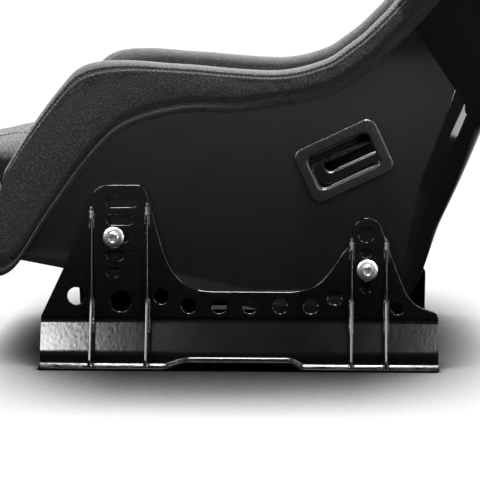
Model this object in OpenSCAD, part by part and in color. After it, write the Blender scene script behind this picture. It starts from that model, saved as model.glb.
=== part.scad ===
// Fixed-back bucket seat on a pair of steel side-mount brackets.
// Frame: the seat faces -Y, +X is its left-hand side seen from behind, +Z is up.
// Origin: centre of the four corner floor bolts, on the floor plane.

/* [Shell] */
// Half width of the flat side panels, outside
hip_half = 200; // [190:1:215]
// Half width at the shoulder wings, outside
shoulder_half = 270; // [255:1:285]
// Half width at the top of the head section, outside
head_half = 135; // [125:1:150]
// Thickness of the glass-fibre laminate
skin = 5; // [4:0.5:6]
// Loft steps between two design stations
loft_steps = 2; // [1:1:3]

/* [Trim] */
// Thickness of the padded cover on the outside of the rim
cover_out = 5; // [4:0.5:7]
// Thickness of the padded cover on the inside of the rim
cover_in = 28; // [22:1:32]
// Thickness of the lining glued inside the bucket
lining = 3; // [2:0.5:4]
// Thickness of one half of the hook-and-loop strips
strip = 1.5; // [1:0.5:2]
// Thickness of the backing panel under a cushion
backing = 2; // [1.5:0.5:3]

/* [Cushions] */
// Greatest thickness of the back cushion
back_pad = 42; // [30:1:50]
// Greatest thickness of the head cushion
head_pad = 36; // [25:1:45]

/* [Brackets] */
// Sheet thickness of the brackets and gussets
plate = 3; // [2.5:0.5:4]
// Length of a bracket along the seat
bracket_len = 450; // [440:5:460]
// Width across the floor-bolt centres
floor_pitch_x = 470; // [468:1:472]
// Pitch of the corner floor bolts along the seat
floor_pitch_y = 408; // [400:2:416]
// Diameter of the floor-bolt holes
floor_hole = 9; // [8.5:0.5:10]
// Thickness of the spacer between shell and bracket
spacer = 6; // [5:0.5:8]

/* [Seat bolts] */
// Thread diameter of the four seat bolts
bolt_d = 8; // [6:1:8]
// Diameter of the large washers
washer_d = 24; // [22:1:28]

/* [Belt slots] */
// Length and width of a belt-slot frame
frame_size = [101, 66]; // [80:1:110]
// Length and width of its opening
slot_size = [74, 40]; // [50:1:76]

/* [Hidden] */
$fn = 48;

// Design stations of the bucket in side view, from the front edge to the top of the head
// section: [spine y, spine z, rim y, rim z, depth of the cover below the rim outside].
// The spine is the outside of the laminate on the centre line, and the rim is its free edge.
STATIONS = [
    [-272, 187, -268, 211, 113],
    [-250, 170, -240, 250, 143],
    [-218, 142, -207, 293, 124],
    [-175, 116, -176, 322,  98],
    [-130, 103, -130, 333,  66],
    [ -60,  88,  -66, 332,  46],
    [  10,  73,   -5, 327,  40],
    [  72,  61,   38, 325,  32],
    [ 120,  60,   66, 328,  31],
    [ 160,  67,   88, 334,  31],
    [ 190,  85,  106, 341,  31],
    [ 210, 113,  122, 352,  31],
    [ 232, 160,  142, 367,  30],
    [ 254, 207,  160, 384,  29],
    [ 277, 261,  180, 405,  29],
    [ 303, 325,  203, 436,  30],
    [ 330, 395,  222, 475,  30],
    [ 354, 465,  235, 525,  30],
    [ 375, 540,  241, 580,  30],
    [ 391, 615,  248, 632,  30],
    [ 401, 690,  266, 680,  30],
    [ 405, 760,  300, 728,  28],
    [ 401, 825,  330, 795,  26],
    [ 391, 880,  352, 858,  20],
    [ 380, 914,  368, 904,  10]];
LAST = len(STATIONS) - 1;
CREASE = 14;        // station where the side panel ends and the shoulder flare starts
WIDEST = 18.5;      // station of the shoulder wings
COVER_SPLIT = 16.5; // station of the seam between side cover and shoulder cover
HEAD_SPLIT = 20.5;  // station of the seam between shoulder cover and head cover
SEAM_GAP = 0.02;    // part of a station left open at a seam

// Outline of the shell's bottom edge in side view
LIP_LOW = 59;
LIP_START_Y = 46;
LIP_SLOPE = 0.208;
LIP_OUT = 5;
LIP_EDGE = 9;
LIP_HIGH = 20;

// Layers inside the bucket, as heights above the outside of the laminate
lining_top = skin + lining;
loop_top = lining_top + strip;
hook_low = loop_top + 0.3;
hook_top = hook_low + strip;
pad_low = hook_top + backing;

// Belt slots
LAP_SLOT = [117.5, 233];
LAP_TURN = 24.9;
// The inner frame sits lower than the outer one, so that the belt leads down to the hips
LAP_DROP = 14;
SHOULDER_STATION = 20.3;
SHOULDER_X = 80;
CROTCH_STATION = 4.7;
FRAME_T = 4;
SLEEVE_T = 4;
SLOT_PLAY = 1;

// Brackets
plate_in = hip_half + spacer;
plate_out = plate_in + plate;
SLANT_OUT = 14;
SLANT_TOP = 49.6;
SLANT_LOW = 14.4;
FLANGE_W = 24;
JOGGLE = 8;
flange_in = plate_in + SLANT_OUT;
flange_out = plate_out + SLANT_OUT + FLANGE_W;
FRONT_BOLT = [-142, 146];
REAR_BOLT = [145, 110];

function mix(a, b, m) = a + (b - a) * m;
function smooth(t) = let (c = max(0, min(1, t))) c * c * (3 - 2 * c);
function unit(v) = v / norm(v);

// Smooth curve through the rows of a table, at row number s
function spline(table, s) =
    let (last = len(table) - 1, i = max(0, min(last - 1, floor(s))), t = s - i,
         a = table[max(0, i - 1)], b = table[i], c = table[i + 1], d = table[min(last, i + 2)])
    0.5 * (2 * b + (c - a) * t + (2 * a - 5 * b + 4 * c - d) * t * t
           + (3 * b - a - 3 * c + d) * t * t * t);
function station(s) = spline(STATIONS, s);
function spine(s) = let (r = station(s)) [r[0], r[1]];
function rim(s) = let (r = station(s)) [r[2], r[3]];
function wall(s) = norm(rim(s) - spine(s));
function rule(s) = unit(rim(s) - spine(s));
TANGENT_STEP = 0.02;
function normal(s) = let (t = unit(spine(s + TANGENT_STEP) - spine(s - TANGENT_STEP))) [-t[1], t[0]];
function inner(s, h) = spine(s) + normal(s) * h;

// Half width of the bucket, outside
function half_width(s) =
    s < CREASE ? hip_half
    : s < WIDEST ? hip_half + (shoulder_half - hip_half) * sin(90 * (s - CREASE) / (WIDEST - CREASE))
    : mix(head_half, shoulder_half, (1 + cos(180 * (s - WIDEST) / (LAST - WIDEST))) / 2);
// 0 in the seat pan, 1 in the backrest
function upright(s) = smooth((s - 8) / 4);
// Depth of the skirt below the pan
function skirt(s) = let (p = spine(s))
    max(1, (p[1] - LIP_LOW - LIP_SLOPE * max(0, LIP_START_Y - p[0])) / rule(s)[1]);
// Height and width of the corner between pan and wall, inside
function corner_up(s) = min(mix(42, 66, upright(s)), 0.5 * wall(s));
function corner_in(s) = mix(50, 76, upright(s));
// A point on the section through station s: x across, b up the wall, from a start point
function put(start, s, x, b) = let (r = rule(s)) [x, start[0] + r[0] * b, start[1] + r[1] * b];

// Right half of the outside of the section, from pan to rim, as [x, b]
function outside_half(s) =
    let (w = half_width(s), m = upright(s), f = skirt(s), k = min(1, wall(s) / 100),
         flare = LIP_OUT * smooth((s - 1.5) / 0.5))
    [[w - mix(24, 81, m), 0],
     [w - mix(6, 54, m), mix(-f, 4 * k, m)],
     [w + mix(flare, -26, m), mix(-f, 19 * k, m)],
     [w + mix(flare, -9, m), mix(LIP_EDGE - f, 38 * k, m)],
     [w, mix(LIP_HIGH - f, 62 * k, m)],
     [w, wall(s)]];
// Right half of the inside, with the last point level with the rim
function inside_half(s) =
    let (w = half_width(s) - skin, u = corner_up(s), c = corner_in(s))
    concat([[w - c - 30, 0]],
           [for (a = [0, 30, 60, 90]) [w - c + c * sin(a), u * (1 - cos(a))]],
           [[w, wall(s)]]);
function both_sides(half) = concat([for (i = [len(half) - 1:-1:0]) [-half[i][0], half[i][1]]], half);
function outside_row(s) = [for (q = both_sides(outside_half(s))) put(spine(s), s, q[0], q[1])];
function inside_row(s) = let (top = wall(s))
    [for (q = both_sides(inside_half(s))) q[1] == top
        ? put(spine(s), s, q[0], q[1]) : put(inner(s, skin), s, q[0], q[1])];

// Solid between two grids of points of equal size
module between(low, high) {
    n = len(low);
    m = len(low[0]);
    function lo(i, k) = i * m + k;
    function hi(i, k) = n * m + i * m + k;
    quads = concat(
        [for (i = [0:n - 2], k = [0:m - 2]) [lo(i, k), lo(i, k + 1), lo(i + 1, k + 1), lo(i + 1, k)]],
        [for (i = [0:n - 2], k = [0:m - 2]) [hi(i, k), hi(i + 1, k), hi(i + 1, k + 1), hi(i, k + 1)]],
        [for (i = [0:n - 2]) [lo(i, 0), lo(i + 1, 0), hi(i + 1, 0), hi(i, 0)]],
        [for (i = [0:n - 2]) [lo(i, m - 1), hi(i, m - 1), hi(i + 1, m - 1), lo(i + 1, m - 1)]],
        [for (k = [0:m - 2]) [lo(0, k), hi(0, k), hi(0, k + 1), lo(0, k + 1)]],
        [for (k = [0:m - 2]) [lo(n - 1, k), lo(n - 1, k + 1), hi(n - 1, k + 1), hi(n - 1, k)]]);
    polyhedron(points = concat([for (r = low) each r], [for (r = high) each r]),
               faces = [for (q = quads) each [[q[0], q[1], q[2]], [q[0], q[2], q[3]]]], convexity = 8);
}
// Places along the seat from one station to another. All lofts share the same inner places, and
// their ends are straight in-betweens, so that layers that touch have the same facets.
MARGIN = 0.01;
function places(from, to) = concat([from],
    [for (i = [ceil((from + MARGIN) * loft_steps):floor((to - MARGIN) * loft_steps)]) i / loft_steps], [to]);
function facet(row, s) = let (low = floor(s * loft_steps) / loft_steps, t = (s - low) * loft_steps)
    t < MARGIN ? row(low) : mix(row(low), row(low + 1 / loft_steps), t);
function rows(row, from, to) = [for (s = places(from, to)) facet(row, s)];

// Local frame on the laminate: z along the inward normal, height h, x across
module on_skin(s, x, h) {
    n = normal(s);
    p = inner(s, h);
    translate([x, p[0], p[1]]) rotate([atan2(-n[0], n[1]), 0, 0]) children();
}
// Local frame on the left side panel: z outward, x along the belt slot
module on_lap_slot(out) {
    translate([out, LAP_SLOT[0], LAP_SLOT[1]]) rotate([LAP_TURN, 0, 0]) rotate([90, 0, 90]) children();
}
module rounded(size, r) {
    square([size[0] - 2 * r, size[1]], center = true);
    square([size[0], size[1] - 2 * r], center = true);
    for (x = [-1, 1], y = [-1, 1])
        translate([x * (size[0] / 2 - r), y * (size[1] / 2 - r)]) circle(r);
}
module slot_cut(play, depth) {
    grow = 2 * (SLEEVE_T + play);
    translate([0, 0, -depth / 2]) linear_extrude(depth) rounded(slot_size + [grow, grow], 10);
}
module mirrored() {
    children();
    mirror([1, 0, 0]) children();
}

// --- Shell and lining ---
module bolt_holes(r, from, to) {
    for (b = [FRONT_BOLT, REAR_BOLT])
        translate([from, b[0], b[1]]) rotate([0, 90, 0]) cylinder(r = r, h = to - from);
}
INSERT_R = 10;
INSERT_FLANGE_R = 18;
INSERT_FLANGE_T = 3;
module shell() {
    color("#101113")
    difference() {
        between(rows(function (s) outside_row(s), 0, LAST), rows(function (s) inside_row(s), 0, LAST));
        mirrored() bolt_holes(INSERT_R, hip_half - 12, hip_half + 2);
        mirrored() bolt_holes(INSERT_FLANGE_R + 0.05, hip_half - 12, hip_half - skin);
        mirrored() on_lap_slot(hip_half) slot_cut(SLOT_PLAY, 40);
        for (x = [-SHOULDER_X, SHOULDER_X]) on_skin(SHOULDER_STATION, x, 0) slot_cut(SLOT_PLAY, 40);
        on_skin(CROTCH_STATION, 0, 0) slot_cut(SLOT_PLAY, 40);
    }
}
// Sheet that follows the inside of the bucket, between two heights
module layer(from, to, half, low, high) {
    function line(s, h) = let (p = inner(s, h)) [for (x = [-half(s), half(s)]) [x, p[0], p[1]]];
    between(rows(function (s) line(s, low), from, to), rows(function (s) line(s, high), from, to));
}
module lining() {
    color("#26272a")
    difference() {
        layer(0.1, LAST - 0.6, function (s) half_width(s) - skin - corner_in(s) - 4, skin, lining_top);
        for (x = [-SHOULDER_X, SHOULDER_X]) on_skin(SHOULDER_STATION, x, 0) slot_cut(SLOT_PLAY, 40);
        on_skin(CROTCH_STATION, 0, 0) slot_cut(SLOT_PLAY, 40);
    }
}

// --- Padded covers over the rim ---
// Room left for the glue between a cover and the laminate
COVER_GAP = 1.2;
// The cover's skin that lies on the laminate, and its free skin, as [x, b]
function cover_low(s) =
    let (w = half_width(s), h = wall(s), d = station(s)[4], foot = skin + corner_up(s) + 3)
    [[w + COVER_GAP, h - d], [w + COVER_GAP, h - d / 2], [w + COVER_GAP, h + COVER_GAP],
     [w - skin / 2, h + COVER_GAP], [w - skin - COVER_GAP, h + COVER_GAP],
     [w - skin - COVER_GAP, mix(h, foot, 0.5)], [w - skin - COVER_GAP, foot]];
function cover_high(s) =
    let (w = half_width(s), h = wall(s), d = station(s)[4], foot = skin + corner_up(s) + 3,
         k = min(1, h / 80), in = skin + cover_in * k)
    [[w + cover_out, h - d], [w + cover_out + 2, h - d / 2], [w + 3, h + 4], [w - 0.45 * in, h + 9],
     [w - 0.85 * in, h + 4], [w - in, mix(h, foot, 0.5)], [w - 0.8 * in, foot]];
module cover(from, to) {
    between(rows(function (s) [for (q = cover_low(s)) put(spine(s), s, q[0], q[1])], from, to),
            rows(function (s) [for (q = cover_high(s)) put(spine(s), s, q[0], q[1])], from, to));
}
module side_cover() {
    color("#2b2c2f")
    difference() {
        cover(0, COVER_SPLIT - SEAM_GAP);
        bolt_holes(INSERT_FLANGE_R + 1, hip_half - 12, hip_half - skin + 0.1);
        on_lap_slot(hip_half) slot_cut(SLOT_PLAY, 40);
        on_lap_slot(lap_inner_x) translate([0, -LAP_DROP, 0]) slot_cut(SLOT_PLAY, 50);
    }
}
module shoulder_cover() {
    color("#2b2c2f") cover(COVER_SPLIT + SEAM_GAP, HEAD_SPLIT - SEAM_GAP);
}
module head_cover() {
    color("#2b2c2f") cover(HEAD_SPLIT + SEAM_GAP, LAST);
}
// Padded roll round the front edge: its outline at the centre and at the side, as [y, z]
FRONT_MID = [[-288, 104], [-305, 92], [-333, 102], [-345, 130], [-346, 162], [-335, 186], [-310, 196], [-273, 194]];
FRONT_SIDE = [[-288, 101], [-296, 94], [-310, 104], [-316, 124], [-314, 145], [-306, 165], [-292, 190], [-269, 217]];
FRONT_CENTRE = [-281, 150];
FRONT_X = [-206, -202, -185, -150, -75, 0, 75, 150, 185, 202, 206];
module front_cover() {
    xs = FRONT_X;
    end = FRONT_X[10];
    function edge(x) = smooth((abs(x) - 140) / 60);
    function shrink(x) = abs(x) == end ? 0.9 : 1;
    function outline(x) = [for (i = [0:7]) mix(FRONT_MID[i], FRONT_SIDE[i], edge(x))];
    function ring(x) = [for (p = outline(x))
        let (q = mix(FRONT_CENTRE, p, shrink(x))) [x, q[0], q[1]]];
    color("#2b2c2f")
    between([for (x = xs) [for (i = [0:3]) ring(x)[i]]], [for (x = xs) [for (i = [7:-1:4]) ring(x)[i]]]);
}
// Padded roll over the top edge
module top_cover() {
    xs = [-128, -120, -60, 0, 60, 120, 128];
    end = 128;
    n = normal(LAST);
    p = spine(LAST);
    t = [n[1], -n[0]];
    // Point at height h above the outside of the laminate and u past its top edge
    function at(x, h, u) = let (q = p + n * h + t * (u * (abs(x) == end ? 0.7 : 1))) [x, q[0], q[1]];
    color("#2b2c2f")
    between([for (x = xs) [at(x, -5, 1), at(x, 8, 0.4), at(x, 21, 1)]],
            [for (x = xs) [at(x, -4, 12), at(x, 8, 20), at(x, 20, 12)]]);
}

// --- Belt-slot frames ---
// Flange on z = 0 upward, sleeve downward
module slot_frame(sleeve) {
    grow = 2 * SLEEVE_T;
    color("#17181a")
    difference() {
        union() {
            linear_extrude(FRAME_T) rounded(frame_size, 12);
            translate([0, 0, -sleeve]) linear_extrude(sleeve + 0.1) rounded(slot_size + [grow, grow], 10);
        }
        translate([0, 0, -sleeve - 1]) linear_extrude(sleeve + FRAME_T + 2) rounded(slot_size, 8);
    }
}
lap_inner_x = hip_half - skin - cover_in;
// Gap under a flat frame on the curved lining
FRAME_SEAT = 1;
module lap_frame_outer() { on_lap_slot(hip_half) slot_frame(16); }
module lap_frame_inner() {
    on_lap_slot(lap_inner_x - 1.5) translate([0, -LAP_DROP, 0]) mirror([0, 0, 1]) slot_frame(16);
}
module shoulder_frame_rear(x) { on_skin(SHOULDER_STATION, x, -0.3) mirror([0, 0, 1]) slot_frame(3.6); }
module shoulder_frame_front(x) { on_skin(SHOULDER_STATION, x, lining_top + FRAME_SEAT) slot_frame(4); }
module crotch_frame_lower() { on_skin(CROTCH_STATION, 0, -0.3) mirror([0, 0, 1]) slot_frame(3.6); }
module crotch_frame_upper() { on_skin(CROTCH_STATION, 0, lining_top + FRAME_SEAT) slot_frame(4); }

// --- Fixings between shell and brackets ---
module threaded_inserts() {
    color("#b9bbbd")
    mirrored() difference() {
        union() {
            bolt_holes(INSERT_R - 0.05, hip_half - skin, hip_half);
            bolt_holes(INSERT_FLANGE_R, hip_half - skin - INSERT_FLANGE_T, hip_half - skin);
            bolt_holes(8, hip_half - skin - INSERT_FLANGE_T - 3, hip_half - skin - INSERT_FLANGE_T);
        }
        bolt_holes(bolt_d / 2 + 0.03, hip_half - 20, hip_half + 1);
    }
}
module mount_spacers() {
    color("#3a3b3d")
    mirrored() difference() {
        bolt_holes(washer_d / 2, hip_half, plate_in);
        bolt_holes(bolt_d / 2 + 0.2, hip_half - 1, plate_in + 1);
    }
}
WASHER_T = 2;
LOCK_T = 2;
LOCK_D = 14.5;
HEAD_D = 13;
HEAD_H = 8;
module large_washers() {
    color("#c9cbcd")
    mirrored() difference() {
        bolt_holes(washer_d / 2, plate_out, plate_out + WASHER_T);
        bolt_holes(bolt_d / 2 + 0.2, plate_out - 1, plate_out + WASHER_T + 1);
    }
}
module lock_washers() {
    from = plate_out + WASHER_T;
    color("#b4b6b8")
    mirrored() difference() {
        bolt_holes(LOCK_D / 2, from, from + LOCK_T);
        bolt_holes(bolt_d / 2 + 0.2, from - 1, from + LOCK_T + 1);
    }
}
module seat_bolts() {
    head = plate_out + WASHER_T + LOCK_T;
    color("#d3d5d7")
    mirrored() difference() {
        union() {
            bolt_holes(bolt_d / 2, hip_half - 11, head);
            bolt_holes(HEAD_D / 2, head, head + HEAD_H);
        }
        for (b = [FRONT_BOLT, REAR_BOLT])
            translate([head + HEAD_H - 4, b[0], b[1]]) rotate([0, 90, 0]) cylinder(d = 6.9, h = 5, $fn = 6);
    }
}

// --- Brackets ---
// Round cap of a post, from one tangent angle to the other
function cap(c, r, from, to) = [for (i = [0:6]) let (a = mix(from, to, i / 6)) c + r * [cos(a), sin(a)]];
// Upper edge of the plate in side view, as [y, z]
PLATE_TOP = concat(
    [[-225, 49], [-225, 56], [-195, 119.4], [-178, 158.3]],
    cap([-148, 185.4], 20, 160, 90), cap([-116, 193.4], 12, 90, 20),
    [[-92, 151.4], [-85, 126.2], [-77, 109], [-66, 96.6], [-54, 88]],
    [[-37, 84.6], [64, 84.6], [83, 89.2], [94, 97.2], [108.4, 115], [117.8, 131.4]],
    cap([145, 152], 17, 152, 28),
    [[169.5, 131.4], [179, 107], [186.5, 88], [192.5, 77], [202, 69]],
    cap([216, 54.6], 9, 80, 0),
    [[225, 49]]);
// Slotted and round adjustment holes of the posts: [y of the left end, z, length]
POST_SLOTS = [for (i = [0:4]) [-150, 106 + 20 * i, 15 + 5 * i]];
SLOT_H = 12;
POST_HOLES = [[143.5, 150, 17], [143.5, 130, 12], [145, 110, 12], [143.5, 90, 12]];
// Lightening holes: [y, z, diameter]
LIGHT_HOLES = concat([[-185, 79, 20], [-134, 73, 24], [-88, 78.7, 17], [108, 78.7, 17], [179, 66.4, 14]],
                     [for (i = [0:4]) [-56.8 + 34.5 * i, 68.3, 17]]);
module along_x(from, to) {
    translate([from, 0, 0]) rotate([90, 0, 90]) linear_extrude(to - from) children();
}
module plate_cutouts() {
    for (s = POST_SLOTS) {
        translate([s[0] + SLOT_H / 2, s[1] - SLOT_H / 2]) square([s[2] - SLOT_H, SLOT_H]);
        for (y = [SLOT_H / 2, s[2] - SLOT_H / 2]) translate([s[0] + y, s[1]]) circle(d = SLOT_H);
    }
    for (h = concat(POST_HOLES, LIGHT_HOLES)) translate([h[0], h[1]]) circle(d = h[2]);
}
// Lower edge of the flange strip: feet on the floor and a raised middle
function flange_line(up) = [for (p = [[-226, 0], [-85, 0], [-76, 1.2], [-62, 6.8], [-54, JOGGLE],
    [56, JOGGLE], [61, 6.8], [69, 1.2], [74, 0], [228, 0]]) [p[0], p[1] + up]];
module reversed_strip(low, high) {
    polygon(concat(flange_line(low), [for (i = [9:-1:0]) flange_line(high)[i]]));
}
BEND_R = 4;
module bracket() {
    web_top = SLANT_LOW + 1;
    half = bracket_len / 2;
    color("#0c0c0d")
    difference() {
        union() {
            along_x(plate_in, plate_out) polygon(PLATE_TOP);
            translate([0, half, 0]) rotate([90, 0, 0]) linear_extrude(bracket_len)
                polygon([[plate_in, SLANT_TOP + BEND_R], [plate_in, SLANT_TOP], [flange_in, SLANT_LOW],
                         [flange_in, SLANT_LOW - 1], [flange_in + plate, SLANT_LOW - 1],
                         [flange_in + plate, web_top], [plate_out, SLANT_TOP + 1],
                         [plate_out, SLANT_TOP + BEND_R]]);
            along_x(flange_in, flange_in + plate)
                polygon(concat(flange_line(0), [[half, SLANT_LOW], [-half, SLANT_LOW]]));
            along_x(flange_in, flange_out) reversed_strip(0, plate);
        }
        along_x(plate_in - 1, plate_out + 1) plate_cutouts();
        floor_holes();
    }
}
FLOOR_SLOT_Y = 97;
FLOOR_SLOT_LEN = 22;
module floor_holes() {
    x = floor_pitch_x / 2;
    for (y = [-1, 1]) {
        translate([x, y * floor_pitch_y / 2, -1]) cylinder(d = floor_hole, h = 10);
        for (e = [-1, 1]) translate([x, y * FLOOR_SLOT_Y + e * (FLOOR_SLOT_LEN - floor_hole) / 2, -1])
            cylinder(d = floor_hole, h = 10);
        translate([x - floor_hole / 2, y * FLOOR_SLOT_Y - (FLOOR_SLOT_LEN - floor_hole) / 2, -1])
            cube([floor_hole, FLOOR_SLOT_LEN - floor_hole, 10]);
    }
}
// Gussets: [y, top z], upright ribs that brace the posts against the flange
GUSSETS = [[-167, 180], [-104, 184], [127, 145], [166, 145]];
module gussets() {
    flange_top = plate;
    color("#0c0c0d")
    for (g = GUSSETS)
        translate([0, g[0] + plate / 2, 0]) rotate([90, 0, 0]) linear_extrude(plate)
            polygon([[plate_out, g[1]], [plate_out + 4, g[1] - 12], [plate_out + 9, SLANT_TOP + 30],
                     [flange_out - 2, flange_top + 6], [flange_out - 2, flange_top],
                     [flange_in + plate, flange_top], [flange_in + plate, SLANT_LOW + 1],
                     [plate_out, SLANT_TOP + 1]]);
}

// --- Hook-and-loop strips: [first station, last station, x] ---
STRIP_HALF = 20;
SEAT_STRIPS = [[1.6, 3.6, 0], [5.9, 8.4, -70], [5.9, 8.4, 70]];
BACK_STRIPS = [[11.5, 18.5, -70], [11.5, 18.5, 70]];
HEAD_STRIPS = [[21.4, 22.8, -35], [21.4, 22.8, 35]];
module strips(list, low, high) {
    color("#0f0f10")
    for (t = list) translate([t[2], 0, 0]) layer(t[0], t[1], function (s) STRIP_HALF, low, high);
}

module loop_strips() { strips(concat(SEAT_STRIPS, BACK_STRIPS, HEAD_STRIPS), lining_top, loop_top); }

// --- Cushions ---
// Places across a cushion as parts of its half width, and how far its edges are drawn in
ACROSS = [-1, -0.8, -0.4, 0, 0.4, 0.8, 1];
UNDER_IN = 0.98;
PAD_CROWN = 0.45;
SEAT_CROWN = 0.32;
// Crowned pad on the inside of the bucket: tall(u) is its thickness, u from 0 to 1 along it
module pad(from, to, half, tall) {
    function place(s, x, h) = let (p = inner(s, h)) [x, p[0], p[1]];
    function along(s) = (s - from) / (to - from);
    function under(s) = [for (k = ACROSS) place(s, k * half(s) * (abs(k) == 1 ? UNDER_IN : 1), pad_low)];
    function top(s) = [for (k = ACROSS)
        place(s, k * half(s), pad_low + tall(along(s)) * (1 - PAD_CROWN * pow(abs(k), 4)))];
    color("#323337")
    between(rows(function (s) under(s), from, to), rows(function (s) top(s), from, to));
}
END_HEIGHT = 0.35;
function rounded_ends(u) = mix(END_HEIGHT, 1, smooth(min(u, 1 - u) / 0.1));
BACK_FROM = 10.9;
BACK_TO = 19.4;
HEAD_FROM = 21.1;
HEAD_TO = 23.1;
function back_half(s) = s < 14 ? 128 : mix(128, 150, smooth((s - 14) / 3));
function head_half_pad(s) = mix(100, 84, (s - HEAD_FROM) / (HEAD_TO - HEAD_FROM));
module back_cushion() {
    pad(BACK_FROM, BACK_TO, function (s) back_half(s), function (u) back_pad * rounded_ends(u));
}
module head_cushion() {
    pad(HEAD_FROM, HEAD_TO, function (s) head_half_pad(s), function (u) head_pad * rounded_ends(u));
}
// Seat cushion in side view, from its front to its rear, as [y, z]. Its first three rows hang over
// the front roll. Row 3 and those behind it lie on the pan, two rows ahead of the same station.
SEAT_TOP = [[-346, 224], [-335, 237], [-292, 248], [-257, 255], [-215, 238], [-165, 205], [-113, 172],
            [-51, 142], [11, 121], [71, 108], [115, 103], [150, 92]];
SEAT_FRONT_UNDER = [[-340, 209], [-325, 205], [-286, 204]];
SEAT_LAST = 10.5;
SEAT_HALF = 146;
module seat_cushion() {
    lines = concat([0, 1, 2], [for (i = [3 * loft_steps:SEAT_LAST * loft_steps]) i / loft_steps]);
    function low(i) = i < 3 ? SEAT_FRONT_UNDER[i] : inner(i - 2, pad_low);
    function crown(k) = 1 - SEAT_CROWN * pow(abs(k), 4);
    function under(i) = [for (k = ACROSS) let (p = low(i)) [k * SEAT_HALF * UNDER_IN, p[0], p[1]]];
    function top(i) = [for (k = ACROSS)
        let (p = mix(low(i), spline(SEAT_TOP, i), crown(k))) [k * SEAT_HALF, p[0], p[1]]];
    color("#323337")
    difference() {
        between([for (i = lines) under(i)], [for (i = lines) top(i)]);
        crotch_hole();
    }
}
CROTCH_PLAY = 6;
module crotch_hole() {
    on_skin(CROTCH_STATION, 0, 60) linear_extrude(200, center = true)
        rounded(frame_size + [CROTCH_PLAY, CROTCH_PLAY], 14);
}
module seat_cushion_backing() {
    color("#1c1d1f")
    difference() {
        layer(1.1, 8.4, function (s) SEAT_HALF - 12, hook_top, pad_low);
        crotch_hole();
    }
}
module back_cushion_backing() {
    color("#1c1d1f") layer(BACK_FROM + 0.2, BACK_TO - 0.2, function (s) back_half(s) - 8, hook_top, pad_low);
}
module head_cushion_backing() {
    color("#1c1d1f") layer(HEAD_FROM + 0.1, HEAD_TO - 0.1, function (s) head_half_pad(s) - 8, hook_top, pad_low);
}

shell();
lining();
side_cover();  // side_cover_left
mirror([1, 0, 0]) side_cover();  // side_cover_right
shoulder_cover();  // shoulder_cover_left
mirror([1, 0, 0]) shoulder_cover();  // shoulder_cover_right
head_cover();  // head_cover_left
mirror([1, 0, 0]) head_cover();  // head_cover_right
front_cover();
top_cover();
lap_frame_outer();  // lap_frame_outer_left
mirror([1, 0, 0]) lap_frame_outer();  // lap_frame_outer_right
lap_frame_inner();  // lap_frame_inner_left
mirror([1, 0, 0]) lap_frame_inner();  // lap_frame_inner_right
shoulder_frame_rear(SHOULDER_X);  // shoulder_frame_rear_left
shoulder_frame_rear(-SHOULDER_X);  // shoulder_frame_rear_right
shoulder_frame_front(SHOULDER_X);  // shoulder_frame_front_left
shoulder_frame_front(-SHOULDER_X);  // shoulder_frame_front_right
crotch_frame_lower();
crotch_frame_upper();
threaded_inserts();
mount_spacers();
bracket();  // bracket_left
mirror([1, 0, 0]) bracket();  // bracket_right
gussets();  // gussets_left
mirror([1, 0, 0]) gussets();  // gussets_right
seat_bolts();
lock_washers();
large_washers();
loop_strips();
seat_cushion();
seat_cushion_backing();
strips(SEAT_STRIPS, hook_low, hook_top);  // seat_cushion_hooks
back_cushion();
back_cushion_backing();
strips(BACK_STRIPS, hook_low, hook_top);  // back_cushion_hooks
head_cushion();
head_cushion_backing();
strips(HEAD_STRIPS, hook_low, hook_top);  // head_cushion_hooks
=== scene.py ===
"""Racing seat: fixed-back bucket on folded steel side mounts. Lengths are in millimetres until to_mesh()."""
from math import atan2, copysign, cos, degrees, exp, floor, pi, radians, sin, sqrt

import bmesh
import bpy
import numpy as np
from mathutils import Matrix, Vector
from mathutils.bvhtree import BVHTree
from mathutils.kdtree import KDTree


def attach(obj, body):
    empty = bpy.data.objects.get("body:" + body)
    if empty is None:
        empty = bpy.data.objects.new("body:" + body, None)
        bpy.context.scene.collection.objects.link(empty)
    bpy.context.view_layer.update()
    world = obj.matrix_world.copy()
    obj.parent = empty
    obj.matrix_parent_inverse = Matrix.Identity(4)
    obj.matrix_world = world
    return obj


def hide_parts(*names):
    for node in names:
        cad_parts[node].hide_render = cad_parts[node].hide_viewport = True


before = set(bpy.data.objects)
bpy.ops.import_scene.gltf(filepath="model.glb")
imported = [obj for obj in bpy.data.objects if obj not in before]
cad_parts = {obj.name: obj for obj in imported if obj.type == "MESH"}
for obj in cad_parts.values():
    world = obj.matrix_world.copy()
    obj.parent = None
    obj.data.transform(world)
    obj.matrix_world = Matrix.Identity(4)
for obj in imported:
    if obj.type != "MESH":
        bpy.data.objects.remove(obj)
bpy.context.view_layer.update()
MM = 0.001
ROOT = "bucket"
SIDES = ((1, "left"), (-1, "right"))
MIRROR = Matrix.Scale(-1, 4, (1, 0, 0))

# -------- the design, as in the CAD source
HIP_HALF, SHOULDER_HALF, HEAD_HALF = 200.0, 270.0, 135.0
SKIN, COVER_OUT, COVER_IN = 5.0, 5.0, 28.0
LINING_TOP, PAD_LOW = 8.0, 13.3
BACK_PAD, HEAD_PAD = 42.0, 36.0
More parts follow.
